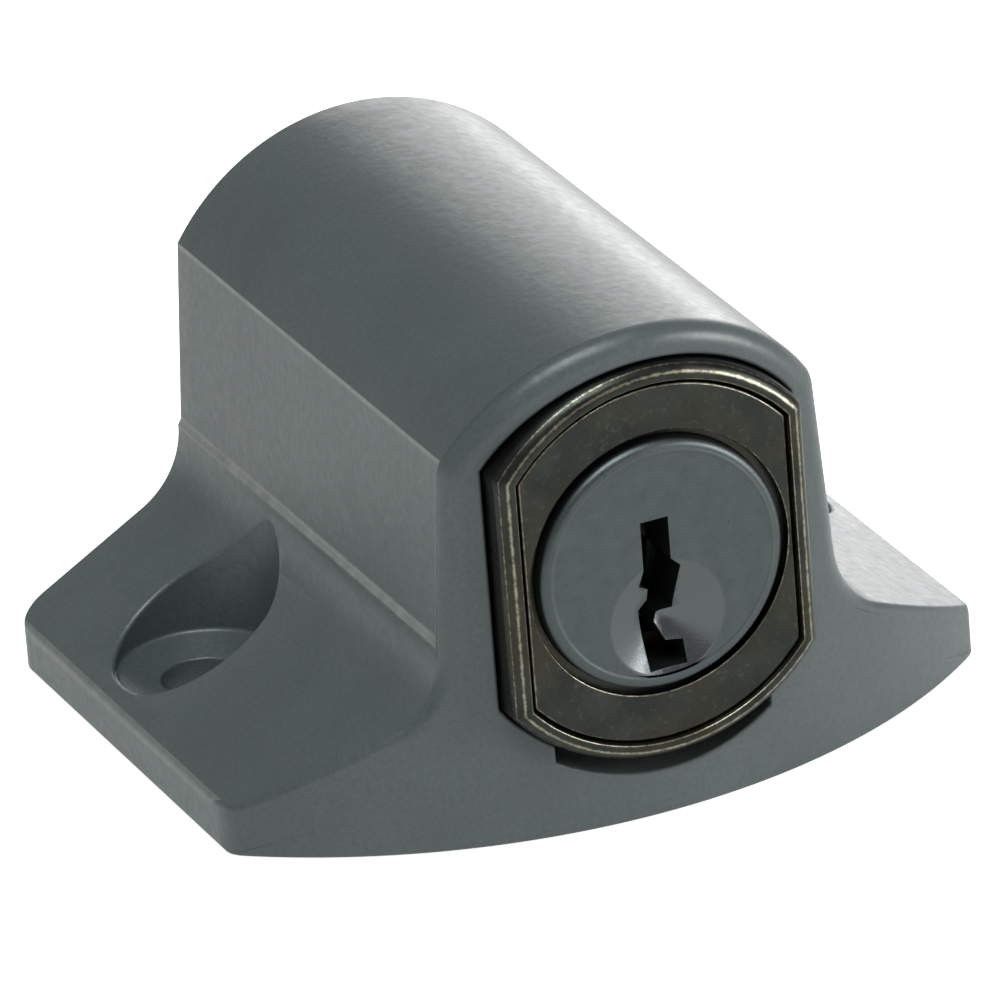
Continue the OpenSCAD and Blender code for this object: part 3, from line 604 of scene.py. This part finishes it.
# three rows across the plate, each nearer to the plug's hole than the one before by three tenths
hole_line = ring_line(HOLE_R + HOLE_EDGE, plate_line)
for _ in range(3):
    rows.append(row(rows[-1][:, ::2] * 0.7 + hole_line * 0.3, PLATE_Y))
    wear.append(0.0)
# the hole's rounded edge gets a pale line painted as its highlight
for a in quarter(4):
    line = ring_line(HOLE_R + HOLE_EDGE * (1 - math.sin(a)), plate_line)
    rows.append(row(line, PLATE_Y + HOLE_EDGE * (1 - math.cos(a))))
    wear.append(0.9 * math.sin(2 * a))
step_y = PLATE_Y + STEP_D
for r, y in ((HOLE_R, step_y), (STEP_R, step_y), (STEP_R, BARREL_Y), (BARREL_R, BARREL_Y)):
    rows.append(row(ring_line(r, plate_line), y))
    wear.append(0.0)
body = rows_piece("cylinder_body_casting", rows, ends="ring", sharp=40, wear=wear)
# the groove under the barrel that the wafers drop into to lock the plug
WAFER_Y, WAFER_PITCH, WAFER_T, WAFER_X = -21.3, 1.7, 0.9, 2.65
groove_y = (WAFER_Y - 0.1, WAFER_Y + 4 * WAFER_PITCH + WAFER_T + 0.1)
cut_out(body, block((-2.85, 2.85), groove_y, (AXIS_Z - 7.1, AXIS_Z - 5.0)), sharp=40)
dress(body, nickel, "button", "button", "cylinder_body")

# ---------------------------------------------------------------------------------------------
# Plug: the turning core of the cylinder, turned in brass with a broached keyway and a cone-shaped
# lead-in for the key. Satin nickel plated, but bright in the lead-in, which is cut after the plating.
HEAD_Y, HEAD_R, HEAD_ROUND, TAIL_Y = -24.35, 6.75, 0.42, -10.95
CORE_R, SQUARE, CAM_SCREW_R, CAM_SCREW_L = 6.0, 2.0, 1.02, 2.4
CONE_X, CONE_Z, CONE_R, CONE_D = 0.05, AXIS_Z - 3.0, 3.2, 1.1
FACE_Y = HEAD_Y + 0.03
turn = np.linspace(0, 2 * np.pi, 160, endpoint=False)
ring = np.stack([np.cos(turn), np.sin(turn)], axis=-1)
on_cone, on_axis = np.array([CONE_X, CONE_Z]), np.array([0, AXIS_Z])
rows, bare = [], []
for r in (0.02, 0.6, 1.2, 1.8, 2.4, 2.8, CONE_R - 0.12):
    rows.append(row(on_cone + ring * r, FACE_Y + CONE_D * (1 - r / CONE_R)))
    bare.append(1.0)
cone_rim = on_cone + ring * (CONE_R + 0.06)
rows += [row(on_cone + ring * (CONE_R - 0.02), FACE_Y + 0.005), row(cone_rim, FACE_Y)]
bare += [0.6, 0.0]
for s in (0.25, 0.5, 0.75, 1.0):
    rows.append(row(cone_rim * (1 - s) + (on_axis + ring * CORE_R) * s, FACE_Y))
    bare.append(0.0)
# a fine ridge left by the turning tool just inside the rounded edge, painted part bright as a highlight
for r, y, light in ((6.12, FACE_Y, 0.0), (6.17, HEAD_Y, 0.5), (6.23, HEAD_Y, 0.5), (6.3, FACE_Y, 0.0)):
    rows.append(row(on_axis + ring * r, y))
    bare.append(light)
for a in quarter(8):
    r = HEAD_R - HEAD_ROUND * (1 - math.sin(a))
    rows.append(row(on_axis + ring * r, FACE_Y + HEAD_ROUND * (1 - math.cos(a))))
    bare.append(0.0)
# behind the head: the core, the square that drives the cam and the hole of the cam's screw
square = ring * SQUARE / np.abs(ring).max(axis=1, keepdims=True)
for line, y in (
    (ring * HEAD_R, BARREL_Y),
    (ring * CORE_R, BARREL_Y),
    (ring * CORE_R, BODY_END),
    (square, BODY_END),
    (square, TAIL_Y),
    (ring * CAM_SCREW_R, TAIL_Y),
    (ring * CAM_SCREW_R, TAIL_Y - CAM_SCREW_L),
):
    rows.append(row(on_axis + line, y))
    bare.append(0.0)
plug = rows_piece("plug_core", rows, sharp=40, bare=bare)
# the keyway's outline from its upper left corner, down the right side past its wards and back
keyway = [(-1.1, 2.6), (0.45, 2.6), (0.45, 0.25), (1.0, -0.3), (0.7, -2.85), (-0.15, -3.0), (-0.35, -3.4)]
keyway += [(0.1, -4.45), (1.0, -4.55), (1.0, -5.75), (-1.1, -5.75), (-1.3, -2.45), (-0.75, -2.0)]
keyway += [(-0.75, -1.35), (-1.3, -1.0), (-1.1, -0.1)]
line = np.array(keyway) + [0, AXIS_Z]
cutters = [rows_piece("cutter", [row(line, HEAD_Y - 1), row(line, -13.6)])]
# each wafer's slot, with the side pocket and the round hole of its spring
for i in range(5):
    y = WAFER_Y + WAFER_PITCH * i
    slot_y = (y - 0.05, y + WAFER_T + 0.05)
    cutters.append(block((-WAFER_X - 0.05, WAFER_X + 0.05), slot_y, (AXIS_Z - 7, AXIS_Z + 7)))
    cutters.append(block((0.0, WAFER_X + 1.55), slot_y, (AXIS_Z - 6.9, AXIS_Z - 0.85)))
    cutters.append(drill("z", (WAFER_X + 0.85, y + WAFER_T / 2), 0.67, (AXIS_Z - 6.8, AXIS_Z + 2.55), 24))
cut_out(plug, *cutters, sharp=40)

# Satin nickel over tumbled brass: a very fine even grain that spreads the light, with small handling
# marks and pits. The cone is bare and smoother, so it mirrors more, and the turning ridge is
# painted half way to it as a highlight.
satin, tree, place = new_material("satin nickel on turned brass")
grain = node(tree, "TexNoise", {"Vector": place, "Scale": 1 / (0.12 * MM), "Detail": 2, "Roughness": 0.55})
marks = node(tree, "TexNoise", {"Vector": place, "Scale": 1 / (1.1 * MM), "Detail": 5, "Roughness": 0.7})
pits = node(tree, "TexNoise", {"Vector": place, "Scale": 1 / (0.16 * MM), "Detail": 1, "Roughness": 0.55})
share = node(tree, "MapRange", {"Value": marks, "From Min": 0.35, "From Max": 0.7})
tone = node(
    tree, "Mix", {SHARE: share, UNDER: colour("4b5050"), OVER: colour("515757")}, MIXED, data_type="RGBA"
)
share = node(tree, "MapRange", {"Value": pits, "From Min": 0.66, "From Max": 0.72, "To Max": 0.5})
tone = node(tree, "Mix", {SHARE: share, UNDER: tone, OVER: colour("2f3434")}, MIXED, data_type="RGBA")
# the bare cone's colour and gloss, and half of them on the turning ridge as a painted highlight
on_bare = node(tree, "Attribute", out="Fac", attribute_name="bare")
tone = node(tree, "Mix", {SHARE: on_bare, UNDER: tone, OVER: colour("5a5d5e")}, MIXED, data_type="RGBA")
rough = node(tree, "MapRange", {"Value": on_bare, "To Min": 0.42, "To Max": 0.22})
normal = node(tree, "Bump", {"Height": grain, "Distance": 0.004 * MM})
shader = node(
    tree, "BsdfPrincipled", {"Base Color": tone, "Metallic": 1.0, "Roughness": rough, "Normal": normal}
)
node(tree, "OutputMaterial", {"Surface": shader})
dress(plug, satin, "plug", "plug", "plug")

# ---------------------------------------------------------------------------------------------
# Bolt: the 8 mm steel bar that shoots into the strike. It is turned, bevelled at its free end and
# zinc plated, and a cross pin holds it in the sleeve.
BOLT_SEAT, BOLT_END, BOLT_BEVEL = -5.7, 22.0, 0.8


def turned(name, profile, ends="caps", steps=128):
    """A turned piece: the profile's points (radius, y) carried round the button's axis."""
    profile = np.asarray(profile, dtype=float)
    turn = np.linspace(0, 2 * np.pi, steps, endpoint=False)
    x = profile[:, :1] * np.cos(turn)
    z = AXIS_Z + profile[:, :1] * np.sin(turn)
    y = np.broadcast_to(profile[:, 1:], x.shape)
    return rows_piece(name, np.stack([x, y, z], axis=-1), ends)


# each corner of the profile has a point just before it and one just after, so that it is softened
profile = [
    (0.02, BOLT_SEAT),
    (BOLT_R - 0.2, BOLT_SEAT),
    (BOLT_R, BOLT_SEAT + 0.2),
    (BOLT_R, 0),
    (BOLT_R, BOLT_END - BOLT_BEVEL - 0.1),
    (BOLT_R - 0.03, BOLT_END - BOLT_BEVEL),
    (BOLT_R - BOLT_BEVEL + 0.1, BOLT_END - 0.08),
    (BOLT_R - BOLT_BEVEL - 0.05, BOLT_END),
    (2.0, BOLT_END),
    (0.02, BOLT_END),
]
bolt = turned("bolt_bar", profile)
cut_out(bolt, drill("x", (CROSS_Y, AXIS_Z), PIN_R, (-6.0, 6.0)))

# Bright zinc on a turned bar: the tool's rings, about 0.3 mm apart, pull the highlights out along the
# bar, and the plate is clouded over a millimetre or two. The wave's bands are a tenth of pi apart.
steel, tree, place = new_material("zinc plated steel")
rings = node(
    tree,
    "TexWave",
    {"Vector": place, "Scale": math.pi / 10 / (0.3 * MM), "Distortion": 0.6, "Detail": 1},
    "Fac",
    bands_direction="Y",
)
cloud = node(tree, "TexNoise", {"Vector": place, "Scale": 1 / (1.6 * MM), "Detail": 3, "Roughness": 0.55})
rough = node(
    tree, "MapRange", {"Value": cloud, "From Min": 0.3, "From Max": 0.7, "To Min": 0.26, "To Max": 0.38}
)
share = node(tree, "MapRange", {"Value": cloud, "From Min": 0.35, "From Max": 0.65})
tone = node(
    tree, "Mix", {SHARE: share, UNDER: colour("aeb0b2"), OVER: colour("c3c5c6")}, MIXED, data_type="RGBA"
)
normal = node(tree, "Bump", {"Height": rings, "Distance": 0.002 * MM})
shader = node(
    tree, "BsdfPrincipled", {"Base Color": tone, "Metallic": 1.0, "Roughness": rough, "Normal": normal}
)
node(tree, "OutputMaterial", {"Surface": shader})
dress(bolt, steel, "button", "steel", "bolt")

# ---------------------------------------------------------------------------------------------
# Rear bush: the ring that the bolt slides in. It is turned from brass, left bare and pressed into
# the housing's rear wall, a hair below its face.
BUSH_BORE, BUSH_OUT, BUSH_FACE = 4.05, 5.02, REAR_Y - 0.02
profile = [
    (BUSH_BORE, WALL_Y),
    (BUSH_BORE, REAR_Y - 0.2),
    (4.2, BUSH_FACE),
    (4.9, BUSH_FACE),
    (BUSH_OUT, REAR_Y - 0.12),
    (BUSH_OUT, WALL_Y),
]
bush = turned("rear_bush_ring", profile, ends="ring")


def brass_metal(name, darker, lighter):
    """Brass clouded unevenly over a millimetre or so, between these two colours."""
    material, tree, place = new_material(name)
    cloud = node(tree, "TexNoise", {"Vector": place, "Scale": 1 / (1.2 * MM), "Detail": 4, "Roughness": 0.55})
    fine = node(tree, "TexNoise", {"Vector": place, "Scale": 1 / (0.2 * MM), "Detail": 3, "Roughness": 0.55})
    rough = node(
        tree, "MapRange", {"Value": cloud, "From Min": 0.3, "From Max": 0.7, "To Min": 0.25, "To Max": 0.4}
    )
    share = node(tree, "MapRange", {"Value": cloud, "From Min": 0.35, "From Max": 0.65})
    tone = node(
        tree, "Mix", {SHARE: share, UNDER: colour(darker), OVER: colour(lighter)}, MIXED, data_type="RGBA"
    )
    normal = node(tree, "Bump", {"Height": fine, "Distance": 0.004 * MM})
    shader = node(
        tree, "BsdfPrincipled", {"Base Color": tone, "Metallic": 1.0, "Roughness": rough, "Normal": normal}
    )
    node(tree, "OutputMaterial", {"Surface": shader})
    return material


# Turned brass left bare: a warm, slightly clouded shine.
brass = brass_metal("turned brass", "a88a4c", "c3a562")
dress(bush, brass, "housing", "brass", "rear_bush")

# ---------------------------------------------------------------------------------------------
# Inner pieces: steel pins, springs, cam pin, screw and catch, and brass wafers and cam disc. They
# are stamped, turned or coiled, fitted inside the others and seen only through the keyway or from
# below, so they keep their CAD shapes. The brass is stamped, and painted dark and dull as the
# shade it sits in inside the lock.
# the brass inside is painted dark and dull to stand for the shade it sits in
shaded_brass = brass_metal("shade darkened brass", "2a241a", "463b25")
for name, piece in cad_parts.items():
    if piece.hide_render:
        continue
    is_brass = name.startswith(("wafer_", "cam_disc")) and "spring" not in name
    piece.data.materials.clear()
    piece.data.materials.append(shaded_brass if is_brass else steel)

# ---------------------------------------------------------------------------------------------
# Studio: a white card table in a white surround. One soft box above in front lights the dome and the
# front, a wide one and a low one behind on the right draw the arch's highlight, a small one above
# gives the rim its glints, and one in front on the right fills the flange and the lead-in.
FLOOR_REACH, FLOOR_Z = 3.0, -0.0001
corners = [(-FLOOR_REACH, -FLOOR_REACH), (FLOOR_REACH, -FLOOR_REACH), (FLOOR_REACH, FLOOR_REACH)]
corners.append((-FLOOR_REACH, FLOOR_REACH))
floor_mesh = bpy.data.meshes.new("floor")
floor_mesh.from_pydata([(x, y, FLOOR_Z) for x, y in corners], [], [(0, 1, 2, 3)])
floor = bpy.data.objects.new("floor", floor_mesh)
bpy.context.scene.collection.objects.link(floor)
# matt card, lit to white where it is seen itself and dimmer where the lock mirrors it
card, tree, place = new_material("matt white card")
seen = node(tree, "LightPath", out="Is Camera Ray")
glow = node(tree, "MapRange", {"Value": seen, "To Min": 0.32, "To Max": 0.92})
look = {"Base Color": colour("d8d8d8"), "Roughness": 0.9, "Emission Color": colour("ffffff")}
shader = node(tree, "BsdfPrincipled", look | {"Emission Strength": glow})
node(tree, "OutputMaterial", {"Surface": shader})
floor_mesh.materials.append(card)

world = bpy.data.worlds.new("studio")
bpy.context.scene.world = world
world.use_nodes = True
surround = world.node_tree.nodes["Background"]
surround.inputs["Color"].default_value = (1, 1, 1, 1)
surround.inputs["Strength"].default_value = 0.4
bpy.context.scene.view_settings.view_transform = "Standard"
LOCK_MIDDLE = Vector((0, 0, 0.012))


def softbox(name, place, size, watts, tint="ffffff"):
    """A square light of that size in metres, facing the lock."""
    light = bpy.data.lights.new(name, "AREA")
    light.shape = "SQUARE"
    light.size = size
    light.energy = watts
    light.color = colour(tint)[:3]
    lamp = bpy.data.objects.new(name, light)
    bpy.context.scene.collection.objects.link(lamp)
    lamp.location = place
    lamp.rotation_euler = (LOCK_MIDDLE - Vector(place)).to_track_quat("-Z", "Y").to_euler()


softbox("top", (-0.1, -0.15, 0.52), 0.26, 2.0, "f4ffff")
softbox("glint", (0.02, -0.34, 0.5), 0.07, 0.4)
softbox("back", (0.58, 0.86, 0.19), 0.7, 4.1)
softbox("horizon", (0.66, 0.88, 0.04), 0.16, 0.6)
softbox("window", (0.5, -0.4, 0.13), 0.28, 3.0)

# the camera stands above the lock, in front of it on the left, far enough off to flatten it a little
STANDS_AT = [-0.22233, -0.52334, 0.27099]
TO_THE_RIGHT, LOOKS_ALONG = [0.90275, -0.42377, -0.07383], [0.35738, 0.83442, -0.41954]
camera = bpy.data.objects.new("camera", bpy.data.cameras.new("camera"))
bpy.context.scene.collection.objects.link(camera)
camera.data.lens = 432.3
camera.data.sensor_width = 36
camera.data.clip_end = 50
turned_to = np.eye(4)
turned_to[:3, 0] = TO_THE_RIGHT
turned_to[:3, 1] = np.cross(TO_THE_RIGHT, LOOKS_ALONG)
turned_to[:3, 2] = -np.array(LOOKS_ALONG)
turned_to[:3, 3] = STANDS_AT
camera.matrix_world = Matrix(turned_to.tolist())
bpy.context.scene.camera = camera
